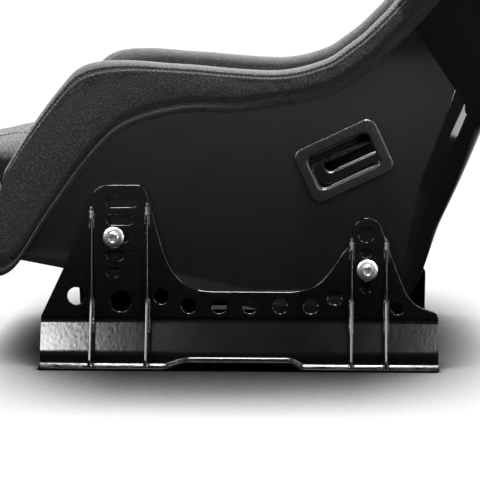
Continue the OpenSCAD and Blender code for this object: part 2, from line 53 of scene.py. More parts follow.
# spine y, spine z, rim y, rim z, depth of the cover below the rim outside
STATIONS = np.array([
    [-272, 187, -268, 211, 113], [-250, 170, -240, 250, 143], [-218, 142, -207, 293, 124],
    [-175, 116, -176, 322, 98], [-130, 103, -130, 333, 66], [-60, 88, -66, 332, 46],
    [10, 73, -5, 327, 40], [72, 61, 38, 325, 32], [120, 60, 66, 328, 31], [160, 67, 88, 334, 31],
    [190, 85, 106, 341, 31], [210, 113, 122, 352, 31], [232, 160, 142, 367, 30],
    [254, 207, 160, 384, 29], [277, 261, 180, 405, 29], [303, 325, 203, 436, 30],
    [330, 395, 222, 475, 30], [354, 465, 235, 525, 30], [375, 540, 241, 580, 30],
    [391, 615, 248, 632, 30], [401, 690, 266, 680, 30], [405, 760, 300, 728, 28],
    [401, 825, 330, 795, 26], [391, 880, 352, 858, 20], [380, 914, 368, 904, 10]], float)
LAST = len(STATIONS) - 1
CREASE, WIDEST, COVER_SPLIT, HEAD_SPLIT = 14, 18.5, 16.5, 20.5
LIP_LOW, LIP_START_Y, LIP_SLOPE, LIP_OUT, LIP_EDGE, LIP_HIGH = 59, 46, 0.208, 5, 9, 20
LAP_SLOT, LAP_TURN = (117.5, 233.0), radians(24.9)
LAP_LOWER = Matrix.Translation((0, -14.0, 0))  # the inner lap frame sits lower than the outer one
LAP_COVER_X, LAP_INNER_X, LAP_OUTER_X = 167, 165.5, HIP_HALF + 4.4
SHOULDER_STATION, SHOULDER_X, CROTCH_STATION = 20.3, 80.0, 4.7
SLOT_HALF, BEZEL_HALF = (37.0, 20.0), (50.5, 33.0)
CUT_DEPTH, CUT_GROW, COVER_CUT_GROW = 40, 5.0, 5.2


def vec(*values):
    return np.array(values, float)


def vecs(*points):
    return [vec(*p) for p in points]


def unit(v):
    return v / np.linalg.norm(v)


def mix(a, b, m):
    return a + (b - a) * m


def smooth(t):
    c = min(1.0, max(0.0, t))
    return c * c * (3 - 2 * c)


def spline(table, s):
    """Smooth curve through the rows of a table, at row number s."""
    last = len(table) - 1
    i = int(min(last - 1, max(0, floor(s))))
    t = s - i
    a, b, c, d = table[max(0, i - 1)], table[i], table[i + 1], table[min(last, i + 2)]
    return 0.5 * (2 * b + (c - a) * t + (2 * a - 5 * b + 4 * c - d) * t ** 2
                  + (3 * b - a - 3 * c + d) * t ** 3)


def spine(s):
    return spline(STATIONS, s)[0:2]


def rim(s):
    return spline(STATIONS, s)[2:4]


def wall(s):
    return float(np.linalg.norm(rim(s) - spine(s)))


def rule(s):
    return unit(rim(s) - spine(s))


def normal(s):
    d = unit(spine(s + 0.02) - spine(s - 0.02))
    return vec(-d[1], d[0])


def inner(s, height):
    return spine(s) + normal(s) * height


def half_width(s):
    if s < CREASE:
        return HIP_HALF
    if s < WIDEST:
        share = sin(pi / 2 * (s - CREASE) / (WIDEST - CREASE))
        return HIP_HALF + (SHOULDER_HALF - HIP_HALF) * share
    return mix(HEAD_HALF, SHOULDER_HALF, (1 + cos(pi * (s - WIDEST) / (LAST - WIDEST))) / 2)


def upright(s):
    return smooth((s - 8) / 4)


def skirt(s):
    """How far the side panel reaches below the spine, down to its lip."""
    p = spine(s)
    return max(1.0, (p[1] - LIP_LOW - LIP_SLOPE * max(0, LIP_START_Y - p[0])) / rule(s)[1])


def corner_up(s):
    return min(mix(42.0, 66.0, upright(s)), 0.5 * wall(s))


def corner_in(s):
    return mix(50.0, 76.0, upright(s))


def put(start, s, x, b):
    """Point of the section at station s: x across, b up the wall from a start point."""
    r = rule(s)
    return vec(x, start[0] + r[0] * b, start[1] + r[1] * b)


def skin_frame(s, x, height):
    """Local frame on the laminate: z along the inward normal, x across the seat."""
    n, p = normal(s), inner(s, height)
    turn = Matrix.Rotation(atan2(-n[0], n[1]), 4, "X")
    return Matrix.Translation((x, p[0], p[1])) @ turn


def shoulder_frame(side, height):
    return skin_frame(SHOULDER_STATION, side * SHOULDER_X, height)


def crotch_frame(height):
    return skin_frame(CROTCH_STATION, 0, height)


def lap_frame(x, side):
    """Local frame on a side panel: z outward, x along the belt slot."""
    axes = Matrix(((0, 0, 1, 0), (1, 0, 0, 0), (0, 1, 0, 0), (0, 0, 0, 1)))
    place = Matrix.Translation((x, LAP_SLOT[0], LAP_SLOT[1])) @ (Matrix.Rotation(LAP_TURN, 4, "X") @ axes)
    return MIRROR @ place if side < 0 else place


# -------- mesh helpers
def fillet(points, radii, steps=4):
    """Polyline with its corners rounded; every corner with a radius gives steps + 1 points."""
    out = [points[0]]
    for i in range(1, len(points) - 1):
        p, r = points[i], radii[i]
        if r <= 0:
            out.append(p)
            continue
        back, ahead = points[i - 1] - p, points[i + 1] - p
        lb, la = np.linalg.norm(back), np.linalg.norm(ahead)
        reach = min(r, 0.46 * lb, 0.46 * la)
        a, c = p + back / lb * reach, p + ahead / la * reach
        for k in range(steps + 1):
            t = k / steps
            out.append((1 - t) ** 2 * a + 2 * t * (1 - t) * p + t ** 2 * c)
    out.append(points[-1])
    return out


def add_object(name, data):
    obj = bpy.data.objects.new(name, data)
    bpy.context.scene.collection.objects.link(obj)
    return obj


def clean(mesh, distance):
    """Joins points that lie on one another and turns the faces outward."""
    bm = bmesh.new()
    bm.from_mesh(mesh)
    bmesh.ops.remove_doubles(bm, verts=bm.verts, dist=distance)
    bmesh.ops.recalc_face_normals(bm, faces=bm.faces)
    bm.to_mesh(mesh)
    bm.free()


def shade(mesh, sharp):
    """Smooth shading; edges sharper than the given angle stay crisp."""
    mesh.shade_smooth()
    if sharp < 180:
        mesh.set_sharp_from_angle(angle=radians(sharp))


def to_mesh(name, shape, material, sharp=30.0, place=None):
    """Object from a shape: its points in millimetres and its faces."""
    mesh = bpy.data.meshes.new(name)
    mesh.from_pydata([tuple(v) for v in np.asarray(shape[0], float) * MM], [], shape[1])
    clean(mesh, 1e-6)
    if place is not None:
        scaled = place.copy()
        scaled.translation = scaled.translation * MM
        mesh.transform(scaled)
        if scaled.determinant() < 0:
            mesh.flip_normals()
    shade(mesh, sharp)
    mesh.materials.append(MAT[material])
    obj = add_object(name, mesh)
    obj["sharp"] = sharp
    return obj


def loft(rings, caps=True):
    """Points and faces through closed rings of equal length."""
    n, m = len(rings), len(rings[0])
    faces = []
    for i in range(n - 1):
        for k in range(m):
            j = (k + 1) % m
            faces.append((i * m + k, i * m + j, (i + 1) * m + j, (i + 1) * m + k))
    if caps:
        faces.append(tuple(range(m))[::-1])
        faces.append(tuple(range((n - 1) * m, n * m)))
    return [p for ring in rings for p in ring], faces


def join_parts(parts):
    """One shape from several."""
    verts, faces = [], []
    for v, f in parts:
        base = len(verts)
        verts.extend(v)
        faces.extend([tuple(i + base for i in face) for face in f])
    return verts, faces


def mirrored(points):
    return [vec(-p[0], p[1], p[2]) for p in points]


def evaluated(obj):
    bpy.context.view_layer.update()
    return obj.evaluated_get(bpy.context.evaluated_depsgraph_get())


def apply_modifiers(obj):
    mesh = bpy.data.meshes.new_from_object(evaluated(obj))
    old = obj.data
    obj.modifiers.clear()
    obj.data = mesh
    bpy.data.meshes.remove(old)


def cut(obj, cutter):
    """Subtracts cutter from obj and removes it."""
    mod = obj.modifiers.new("cut", "BOOLEAN")
    mod.operation, mod.solver, mod.object = "DIFFERENCE", "EXACT", cutter
    apply_modifiers(obj)
    bpy.data.objects.remove(cutter)
    shade(obj.data, min(obj["sharp"], 60))


def even_normals(obj):
    """Shades big flat faces flat and keeps rounded edges soft."""
    mod = obj.modifiers.new("normals", "WEIGHTED_NORMAL")
    mod.mode, mod.weight, mod.keep_sharp = "FACE_AREA", 100, True


def settle(obj, node=None, body=ROOT):
    """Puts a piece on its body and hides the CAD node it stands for."""
    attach(obj, body)
    if node:
        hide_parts(node)


def settle_soft(obj, node, fill, body=ROOT):
    settle(obj, node, body)


def rounded_ring(half_x, half_y, r, z, steps=6):
    """Rounded rectangle as a ring of points."""
    pts = []
    for cx, cy, start in ((1, 1, 0), (-1, 1, 90), (-1, -1, 180), (1, -1, 270)):
        for k in range(steps + 1):
            a = radians(start + 90 * k / steps)
            pts.append(vec(cx * (half_x - r) + r * cos(a), cy * (half_y - r) + r * sin(a), z))
    return pts


def cut_slot(obj, place, depth=CUT_DEPTH, grow=CUT_GROW):
    """Cuts the opening for a belt-slot frame through a piece."""
    x, y = SLOT_HALF[0] + grow, SLOT_HALF[1] + grow
    rings = [rounded_ring(x, y, 10, z) for z in (-depth / 2, depth / 2)]
    cut(obj, to_mesh("cutter", loft(rings), "shell", place=place))


def turn_angles(count):
    return np.linspace(0, 2 * pi, count, endpoint=False)


def ring_across(p, d, up, r, sides):
    """Circle of points round p, across the unit direction d, and the up vector for the next one."""
    a = unit(np.cross(d, up))
    b = np.cross(d, a)
    return [p + r * (cos(t) * a + sin(t) * b) for t in turn_angles(sides)], np.cross(a, d)


def tube(path, radius, sides=8):
    """Round tube along a path of points, thinner at both ends."""
    path = vecs(*path)
    rings = []
    up = vec(0.3, 0.2, 0.93)
    for i, p in enumerate(path):
        d = unit(path[min(i + 1, len(path) - 1)] - path[max(i - 1, 0)])
        ring, up = ring_across(p, d, up, radius * (0.35 if i in (0, len(path) - 1) else 1.0), sides)
        rings.append(ring)
    return loft(rings)


def run_lengths(path):
    """Distance along a path at each of its points."""
    return np.concatenate([[0], np.cumsum(np.linalg.norm(np.diff(path, axis=0), axis=1))])


def sample(u, lengths, values):
    return np.array([np.interp(u, lengths, values[:, k]) for k in range(3)])


def stitches(path, normals, pitch=4.6, radius=0.35, length=3.2, lift=0.15):
    """Thread stitches along a path, one short spindle each."""
    path = np.array(path)
    lengths = run_lengths(path)
    parts = []
    for start in np.arange(pitch / 2, lengths[-1] - length, pitch):
        line = []
        for u, high in ((0, -0.5), (0.25, 0.8), (0.5, 1.0), (0.75, 0.8), (1, -0.5)):
            at = start + u * length
            n = sample(at, lengths, normals)
            line.append(sample(at, lengths, path) + unit(n) * (lift + radius * high))
        parts.append(tube(line, radius, sides=6))
    return join_parts(parts)


# -------- materials
def feed(tree, node, inputs):
    """Fills a node's inputs: a socket is linked, anything else is the value."""
    for key, value in inputs.items():
        if isinstance(value, bpy.types.NodeSocket):
            tree.links.new(value, node.inputs[key])
        else:
            node.inputs[key].default_value = value


def add_node(tree, kind, inputs=None, **settings):
    node = tree.nodes.new("ShaderNode" + kind)
    for key, value in settings.items():
        setattr(node, key, value)
    feed(tree, node, inputs or {})
    return node


def new_material(name):
    """Material with its node tree, its shader, and a maker of textures in object space."""
    mat = bpy.data.materials.new(name)
    mat.use_nodes = True
    tree = mat.node_tree
    place = add_node(tree, "TexCoord").outputs["Object"]

    def noise(scale, kind="TexNoise", output="Fac", **inputs):
        return add_node(tree, kind, {"Scale": scale, **inputs, "Vector": place}).outputs[output]

    return mat, tree, tree.nodes["Principled BSDF"], noise


def ramp(tree, source, stops):
    """Grey ramp through stops of (position, value)."""
    points = add_node(tree, "ValToRGB", {"Fac": source})
    elements = points.color_ramp.elements
    for element, (position, tone) in ((elements[0], stops[0]), (elements[1], stops[-1])):
        element.position, element.color = position, (tone, tone, tone, 1)
    for position, tone in stops[1:-1]:
        elements.new(position).color = (tone, tone, tone, 1)
    return points.outputs["Color"]


def map_range(tree, value, start, end):
    """Maps a value from the range start to the range end."""
    return add_node(tree, "MapRange", {"Value": value, "From Min": start[0], "From Max": start[1],
                                       "To Min": end[0], "To Max": end[1]}).outputs["Result"]


def bump(tree, shader, heights):
    """Chain of bump nodes: (height socket, strength, distance in metres)."""
    last = {}
    for height, strength, distance in heights:
        node = add_node(tree, "Bump", {"Strength": strength, "Distance": distance, "Height": height, **last})
        last = {"Normal": node.outputs["Normal"]}
    feed(tree, shader, last)


def fabric(name, dark, light, sheen, weave=850, sheen_rough=0.45):
    """Woven heathered cloth: fine cells for the weave, flecks of lighter yarn, slow tonal drift."""
    mat, tree, shader, noise = new_material(name)
    threads = noise(weave, "TexVoronoi", "Distance")
    fleck = noise(620, Detail=2.0, Roughness=0.75)
    drift, soft = noise(14, Detail=2.0), noise(60, Detail=2.0)
    colour = ramp(tree, fleck, [(0.46, dark), (0.55, mix(dark, light, 0.2)), (0.64, light)])
    tone = ramp(tree, drift, [(0.3, 0.86), (0.7, 1.0)])
    both = add_node(tree, "Mix", {"Factor": 1.0, "A": colour, "B": tone},
                    data_type="RGBA", blend_type="MULTIPLY")
    feed(tree, shader, {
        "Base Color": both.outputs["Result"], "Roughness": 0.92, "Specular IOR Level": 0.25,
        "Sheen Weight": sheen, "Sheen Roughness": sheen_rough, "Sheen Tint": (0.735, 0.75, 0.765, 1)})
    bump(tree, shader, [(threads, 0.5, 0.0006), (fleck, 0.8, 0.0009), (soft, 0.25, 0.0012)])
    return mat


def hard(name, base, rough, peel=0.0, peel_scale=250, peel_depth=0.0002, metal=0.0, vary=0.0, grain=0.0):
    """Paint, plastic, gelcoat or metal, with roughness drift, orange peel or fine grain."""
    mat, tree, shader, noise = new_material(name)
    drift = noise(22, Detail=4.0, Roughness=0.6)
    feed(tree, shader, {
        "Base Color": ramp(tree, drift, [(0.3, base * 0.85), (0.75, base * 1.15)]), "Metallic": metal,
        "Roughness": map_range(tree, drift, (0.0, 1.0), (max(0.0, rough - vary), rough + vary))})
    heights = []
    if peel:
        heights.append((noise(peel_scale, Detail=1.0), peel, peel_depth))
    if grain:
        heights.append((noise(1800, Detail=1.0), grain, 0.0002))
    if heights:
        bump(tree, shader, heights)
    return mat


MAT = {
    "shell": hard("gelcoat_black", 0.004, 0.05, peel=0.03, peel_scale=70, peel_depth=0.0003, vary=0.02),
    "fabric": fabric("charcoal_fabric", 0.0002, 0.022, sheen=0.055),
    "cushion": fabric("cushion_fabric", 0.0003, 0.026, sheen=0.06),
    "lining": fabric("lining_knit", 0.006, 0.022, sheen=0.2, weave=1200),
    "backing": fabric("backing_cloth", 0.006, 0.018, sheen=0.1, weave=500),
    "tape": fabric("hook_and_loop_tape", 0.004, 0.014, sheen=0.3, weave=650, sheen_rough=0.7),
    "thread": fabric("thread", 0.012, 0.04, sheen=0.3, weave=2600),
    "paint": hard("powder_coat_black", 0.001, 0.17, peel=0.16, peel_scale=210, peel_depth=0.0005, vary=0.04),
    "weld": hard("painted_weld", 0.005, 0.18, peel=0.5, peel_scale=420, peel_depth=0.001, vary=0.05),
    "frame": hard("slot_frame_nylon", 0.002, 0.27, peel=0.4, peel_scale=1100, peel_depth=0.0005, vary=0.04),
    # the ridges are the frame's own nylon made ten times lighter: a painted highlight, so they read as bright
    # lines along the slot's lip
    "ridge": hard("slot_ridge_nylon_painted_highlight", 0.02, 0.3, vary=0.05, grain=0.3),
    "zinc": hard("zinc_plate", 0.5, 0.34, metal=1.0, vary=0.08, grain=0.3),
    "spacer": hard("spacer_anodised", 0.03, 0.3, metal=0.6, vary=0.05, grain=0.15),
    "insert": hard("insert_steel", 0.5, 0.32, metal=1.0, vary=0.06, grain=0.2),
}


# -------- shell and lining
def shell_half(s):
    """Right half of one section, from the centre outside, round the rim, to the centre inside."""
    w, m, f, h = half_width(s), upright(s), skirt(s), wall(s)
    k = min(1.0, h / 100)
    flare = LIP_OUT * smooth((s - 0.3) / 0.6)
    # x, height and corner radius: panel and lip low down, blending into a round corner higher up
    out = [(0, 0, 0), (w - mix(24, 81, m), 0, mix(9, 26, m)),
           (w - mix(6, 54, m), mix(-f, 4 * k, m), mix(1.5, 24, m)),
           (w + mix(flare, -26, m), mix(-f, 19 * k, m), mix(1.4, 24, m)),
           (w + mix(flare, -9, m), mix(LIP_EDGE - f, 38 * k, m), mix(1.1, 18, m)),
           (w, mix(LIP_HIGH - f, 62 * k, m), mix(1.6, 2.2, m)), (w, h, 1.2), (w - SKIN, h, 1.2)]
    points = [put(spine(s), s, x, b) for x, b, _ in out]
    top, u, c, wi = inner(s, SKIN), corner_up(s), corner_in(s), w - SKIN
    for a in np.radians(np.arange(90, -1, -10)):
        points.append(put(top, s, wi - c + c * sin(a), u * (1 - cos(a))))
    points.append(put(top, s, 0, 0))
    radii = [r for _, _, r in out]
    return fillet(points, radii + [0] * (len(points) - len(radii)))


def make_shell():
    rings = []
    for s in np.arange(0, LAST + 0.001, 0.125):
        half = shell_half(s)
        rings.append(half + mirrored(half)[::-1][1:-1])
    shell = to_mesh("bucket_shell", loft(rings), "shell", 23)
    for side, _ in SIDES:
        cut_slot(shell, lap_frame(HIP_HALF, side))
        cut_slot(shell, shoulder_frame(side, 0))
    cut_slot(shell, crotch_frame(0))
    even_normals(shell)
    settle(shell, "shell")


def make_lining():
    rings = []
    for s in np.arange(0.1, LAST - 0.55, 0.2):
        half = half_width(s) - SKIN - corner_in(s) - 4
        xs = np.linspace(-half, half, 9)
        low = [vec(x, *inner(s, SKIN + 0.05)) for x in xs]
        high = [vec(x, *inner(s, LINING_TOP - (1.6 if abs(x) == half else 0))) for x in xs[::-1]]
        rings.append(low + high)
    lining = to_mesh("bucket_lining", loft(rings), "lining", 50)
    for side, _ in SIDES:
        cut_slot(lining, shoulder_frame(side, 0))
    cut_slot(lining, crotch_frame(0))
    settle(lining, "lining")


# -------- padded covers over the rim
HEM_ROLL, SEAM_ANGLE, SEAM_GROOVE, CREST_POWER = 11.0, 24, 1.3, 0.8


def cover_outside(s, v, depth):
    """How far the cloth stands off the panel at v millimetres above the hem."""
    if v <= HEM_ROLL:
        # the rolled hem stands out at the front and flattens where the cover turns level
        roll = mix(1.0, 0.4, smooth((s - 5.2) / 1.8))
        return 0.6 + 5.6 * roll * sin(pi * max(0.0, v / HEM_ROLL)) ** 0.6 + 0.6 * (v / HEM_ROLL)
    rise = smooth((v - HEM_ROLL) / 7)
    belly = sin(pi * min(1.0, (v - HEM_ROLL) / max(20.0, depth - HEM_ROLL)))
    return mix(1.2, COVER_OUT + 1.0, rise) + 1.2 * belly


def cover_fullness(s):
    return min(1.0, wall(s) / 80)


def crest(s, a):
    """Point (x, height) on the firm roll over the rim, fuller at the nose, at angle a from outside."""
    d, k = spline(STATIONS, s)[4], cover_fullness(s)
    right = half_width(s) + cover_outside(s, d - 4, d)
    left = half_width(s) - (SKIN + COVER_IN * k)
    rise = 13.0 * k + 9.0 * (1 - smooth((s - 2.5) / 2.5))
    x = (right + left) / 2 + (right - left) / 2 * copysign(abs(cos(a)) ** CREST_POWER, cos(a))
    return x, wall(s) - 4 + rise * abs(sin(a)) ** CREST_POWER


def cover_ring(s, pucker):
    w, h, d, k = half_width(s), wall(s), spline(STATIONS, s)[4], cover_fullness(s)
    foot, depth_in = SKIN + corner_up(s) + 3, SKIN + COVER_IN * k
    ring = []
    for v in np.concatenate([np.linspace(0, HEM_ROLL, 9), np.linspace(HEM_ROLL + 1.5, d - 4, 16)]):
        ring.append((w + cover_outside(s, v, d) + pucker(s, v), h - d + v))
    # the seam is a shallow groove on the outer shoulder of the crest
    for a in np.radians(np.arange(4, 181, 6)):
        x, b = crest(s, a)
        groove = SEAM_GROOVE * exp(-((degrees(a) - SEAM_ANGLE) / 6.5) ** 2)
        ring.append((x - groove * cos(a), b - groove * sin(a)))
    for t in np.linspace(0.04, 1, 12):
        swell = 4.0 * k * sin(pi * min(1.0, t * 1.1)) if t < 0.9 else 0
        tuck = 0.2 * depth_in * smooth((t - 0.75) / 0.25)
        ring.append((w - depth_in - swell + tuck, mix(h - 4, foot, t)))
    # the underside follows the laminate with a small gap
    x_in, x_out = w - SKIN - 0.2, w + 0.2
    ring += [(x_in, foot), (x_in, h - 3), (x_in, h + 0.3), (x_out, h + 0.3), (x_out, h - 3)]
    return [put(spine(s), s, x, b) for x, b in ring]


def cover_rows(start, end, step=0.1, edge=0.06):
    """Stations of a cover, with extra ones near both ends so that its ends can round off."""
    inside = np.arange(start + edge, end - edge + 1e-6, step)
    return np.concatenate([[start, start + edge * 0.3], inside, [end - edge * 0.3, end]])


def pucker_side(s, v):
    """Small diagonal creases where the hem turns level, and slow drift of the cloth everywhere."""
    near = exp(-((s - 7.3) / 0.55) ** 2) * exp(-(v / 22) ** 2)
    crease = 1.5 * near * sin(14 * s + v / 4.0)
    drift = 0.35 * sin(2.3 * s + v / 23) + 0.25 * sin(5.1 * s - v / 17)
    return crease + drift * smooth(v / 25)


def pucker_flat(s, v):
    return 0.3 * sin(2.3 * s + v / 23)


def make_cover(name, side, start, end, pucker):
    rings = []
    rows = cover_rows(start, end)
    for i, s in enumerate(rows):
        ring = cover_ring(s, pucker)
        from_end = min(i, len(rows) - 1 - i)
        if from_end < 2:
            shrink = (0.86, 0.965)[from_end]
            middle = put(spine(s), s, half_width(s) - 8, wall(s) - 10)
            ring = [middle + (p - middle) * shrink for p in ring[:-5]] + ring[-5:]
        rings.append(ring if side > 0 else mirrored(ring))
    return to_mesh(name, loft(rings), "fabric", 60)


def line_stitches(name, side, rows, angle):
    """Row of stitches along the crest of a cover."""
    path, normals = [], []
    a = radians(angle)
    for s in rows:
        x, b = crest(s, a)
        p, q = put(spine(s), s, x, b), put(spine(s), s, x + cos(a), b + sin(a))
        path.append(p + (q - p) * 0.1)
        normals.append(q - p)
    if side < 0:
        path, normals = mirrored(path), mirrored(normals)
    settle(to_mesh(name, stitches(path, np.array(normals)), "thread", 180))


# part, start and end station, creases, fill, start and end of the stitches
COVERS = (
    ("side", 0, COVER_SPLIT - 0.02, pucker_side, 0.7, (0.1, COVER_SPLIT - 0.1)),
    ("shoulder", COVER_SPLIT + 0.02, HEAD_SPLIT - 0.02, pucker_flat, 0.7,
     (COVER_SPLIT + 0.1, HEAD_SPLIT - 0.1)),
    ("head", HEAD_SPLIT + 0.02, LAST - 0.02, pucker_flat, 0.6, None))


def make_covers():
    for side, word in SIDES:
        for part, start, end, pucker, fill, _ in COVERS:
            cover = make_cover(f"{part}_cover_{word}_cloth", side, start, end, pucker)
            if part == "side":
                cut_slot(cover, lap_frame(HIP_HALF, side), grow=COVER_CUT_GROW)
                cut_slot(cover, lap_frame(LAP_COVER_X, side) @ LAP_LOWER, 50, COVER_CUT_GROW)
            settle_soft(cover, f"{part}_cover_{word}", fill)
        for part, _, _, _, _, sewn in COVERS[:2]:
            for angle, row in ((14, "low"), (35, "high")):
                line_stitches(f"stitches_{part}_{row}_{word}", side, np.arange(*sewn, 0.05), angle)


# -------- cloth simulation
FRAMES = 20


def inflate(obj, voxel=5.0, pressure=4.0, cap=8.0):
    """Remesh, blow up with cloth pressure, cap how far a point moves, apply, one subdivision."""
    remesh = obj.modifiers.new("remesh", "REMESH")
    remesh.mode, remesh.voxel_size, remesh.use_smooth_shade = "VOXEL", voxel * MM, True
    apply_modifiers(obj)
    rest = np.array([v.co for v in obj.data.vertices])
    cloth = obj.modifiers.new("cloth", "CLOTH")
    cs = cloth.settings
    cs.quality, cs.mass = 5, 0.3
    cs.use_pressure, cs.uniform_pressure_force = True, pressure
    cs.tension_stiffness = cs.compression_stiffness = 12
    cs.shear_stiffness, cs.bending_stiffness = 6, 0.4
    cs.effector_weights.gravity = 0
    cloth.point_cache.frame_start, cloth.point_cache.frame_end = 1, FRAMES
    scene = bpy.context.scene
    for f in range(1, FRAMES + 1):
        scene.frame_set(f)
    blown = obj.evaluated_get(bpy.context.evaluated_depsgraph_get())
    step = np.array([v.co for v in blown.to_mesh().vertices]) - rest
    size = np.linalg.norm(step, axis=1, keepdims=True)
    step = np.where(size > cap * MM, step * (cap * MM / np.maximum(size, 1e-9)), step)
    blown.to_mesh_clear()
    obj.modifiers.clear()
    obj.data.vertices.foreach_set("co", (rest + step).ravel())
    obj.data.update()
    scene.frame_set(1)
    relax = obj.modifiers.new("relax", "SMOOTH")
    relax.factor, relax.iterations = 0.5, 3
    sub = obj.modifiers.new("sub", "SUBSURF")
    sub.levels = sub.render_levels = 1
    apply_modifiers(obj)
    obj.data.shade_smooth()


def press_in(obj, line, depth, width):
    """Sinks the cloth along a seam line, as a sewn seam does."""
    vertices = obj.data.vertices
    places, normals = np.empty(len(vertices) * 3), np.empty(len(vertices) * 3)
    vertices.foreach_get("co", places)
    vertices.foreach_get("normal", normals)
    places, normals = places.reshape(-1, 3), normals.reshape(-1, 3)
    tree = KDTree(len(places))
    for i, p in enumerate(places):
        tree.insert(p, i)
    tree.balance()
    nearest = np.full(len(places), 1.0)
    for p in line:
        for _, i, distance in tree.find_range(Vector(p) * MM, 2.4 * width * MM):
            nearest[i] = min(distance, nearest[i])
    fall = np.where(nearest < 1.0, np.exp(-(nearest / (width * MM)) ** 2), 0.0)
    vertices.foreach_set("co", (places - normals * depth * MM * fall[:, None]).ravel())
    obj.data.update()


def drape_line(obj, line, direction, offset=0.0):
    """Drops a line of points onto a piece along a direction; gives points and normals in millimetres."""
    bpy.context.view_layer.update()
    tree = BVHTree.FromObject(obj, bpy.context.evaluated_depsgraph_get())
    points, normals = [], []
    toward = Vector(direction).normalized()
    for p in line:
        hit, n, _, _ = tree.ray_cast(Vector(p) * MM, toward, 1.0)
        if hit is not None:
            if n.dot(toward) > 0:
                n = -n
            points.append(np.array(hit / MM + n * offset))
            normals.append(np.array(n))
    return points, np.array(normals)


# -------- front and top rolls
# outlines in (y, z), from below round the front to the cushion: at the middle and at the sides
FRONT_MID = np.array([[-288, 104], [-305, 92], [-333, 102], [-345, 130], [-346, 162], [-335, 186],
                      [-310, 196], [-273, 194]], float)
FRONT_SIDE = np.array([[-288, 101], [-296, 94], [-310, 104], [-316, 124], [-314, 145], [-306, 165],
                       [-292, 190], [-269, 217]], float)
FRONT_CENTRE, FRONT_SEAM_Z, TOP_HALF = vec(-281.0, 150.0), 172.0, 127.5


def make_front_cover():
    rings = []
    for x in np.concatenate([[-205.6, -204], np.arange(-200, 201, 8), [204, 205.6]]):
        table = FRONT_MID + (FRONT_SIDE - FRONT_MID) * smooth((abs(x) - 140) / 60)
        shrink = 0.93 if abs(x) > 205 else 0.98 if abs(x) > 203 else 1.0
        ring = [spline(table, s) for s in np.arange(0, 7.01, 0.25)]
        ring += [mix(table[7], table[0], t) for t in (0.25, 0.5, 0.75)]
        rings.append([vec(x, *mix(FRONT_CENTRE, p, shrink)) for p in ring])
    roll = to_mesh("front_cover_cloth", loft(rings), "fabric", 180)
    inflate(roll, voxel=5, pressure=3, cap=3)
    seam = [vec(x, -400.0, FRONT_SEAM_Z) for x in np.arange(-196, 197, 2.5)]
    press_in(roll, drape_line(roll, seam, (0, 1, 0))[0], depth=1.6, width=3.0)
    sewn = drape_line(roll, [p + vec(0, 0, 4.5) for p in seam], (0, 1, 0), 0.1)
    settle(to_mesh("front_stitches", stitches(*sewn), "thread", 180))
    settle_soft(roll, "front_cover", 0.7)


def make_top_cover():
    n, p = normal(LAST), spine(LAST)
    t = vec(n[1], -n[0])
    rings = []
    for x in np.arange(-TOP_HALF, TOP_HALF + 0.1, 5):
        end = smooth((TOP_HALF - abs(x)) / 12)
        ring = []
        for a in np.radians(np.arange(-90, 91, 10)):
            h = mix(8, 8 + 13 * sin(a), 0.82 + 0.18 * end)
            u = 1 + (2 + 17 * mix(0.72, 1.0, end)) * abs(cos(a)) ** 0.8
            ring.append(vec(x, *(p + n * h + t * u)))
        rings.append(ring)
    roll = to_mesh("top_cover_cloth", loft(rings), "fabric", 180)
    inflate(roll, voxel=4, pressure=3, cap=1.5)
    settle_soft(roll, "top_cover", 0.7)


# -------- cushions
SEAT_TOP = np.array([[-346, 224], [-335, 237], [-292, 248], [-257, 255], [-215, 238], [-165, 205],
                     [-113, 172], [-51, 142], [11, 121], [71, 108], [115, 103], [150, 92]], float)
SEAT_FRONT_UNDER = np.array([[-340, 209], [-325, 205], [-286, 204]], float)
SEAT_HALF, SEAT_LAST = 146.0, 10.5
BACK_FROM, BACK_TO, HEAD_FROM, HEAD_TO = 10.9, 19.4, 21.1, 23.1
RING_STEPS, ABOVE_SEAT, ABOVE_PAD, SEW_STEP = 15, 420.0, 120.0, 3
SEAM_DEPTH, SEAM_WIDTH, STITCH_OFFSET = 2.4, 4.0, 4.5
TOWARD_BACK, TOWARD_HEAD, DOWN = (0, 1, -0.25), (0, 1, 0.03), (0, 0, -1)


def soft_ring(low, high, half):
    """Closed ring across a cushion: flat underneath, crowned on top, with full round sides."""
    xs = np.linspace(-1, 1, RING_STEPS)
    return ([vec(k * half * 0.97, *low) for k in xs]
            + [vec(k * half, *mix(low, high, 1 - 0.34 * abs(k) ** 5)) for k in xs[::-1]])


def pad_ring(s, half, thick):
    """The same for a pad that lies on the back."""
    xs = np.linspace(-1, 1, RING_STEPS)
    return ([vec(k * half * 0.97, *inner(s, PAD_LOW)) for k in xs]
            + [vec(k * half, *inner(s, PAD_LOW + thick * (1 - 0.42 * abs(k) ** 4))) for k in xs[::-1]])


def sew(obj, name, line, direction, body):
    """Sinks a seam into a cushion along the dropped line and lays stitches on both sides of it."""
    points, _ = drape_line(obj, line, direction)
    if len(points) < 4:
        return
    press_in(obj, points, SEAM_DEPTH, SEAM_WIDTH)
    line = np.array(line)
    across = np.cross(np.gradient(line, axis=0), np.array(direction, float))
    across = across / np.maximum(np.linalg.norm(across, axis=1, keepdims=True), 1e-6)
    parts = []
    for shift in (-STITCH_OFFSET, STITCH_OFFSET):
        p, n = drape_line(obj, line + across * shift, direction, 0.1)
        if len(p) > 4:
            parts.append(stitches(p, n, 4.8, 0.36))
    settle(to_mesh(name, join_parts(parts), "thread", 180), body=body)


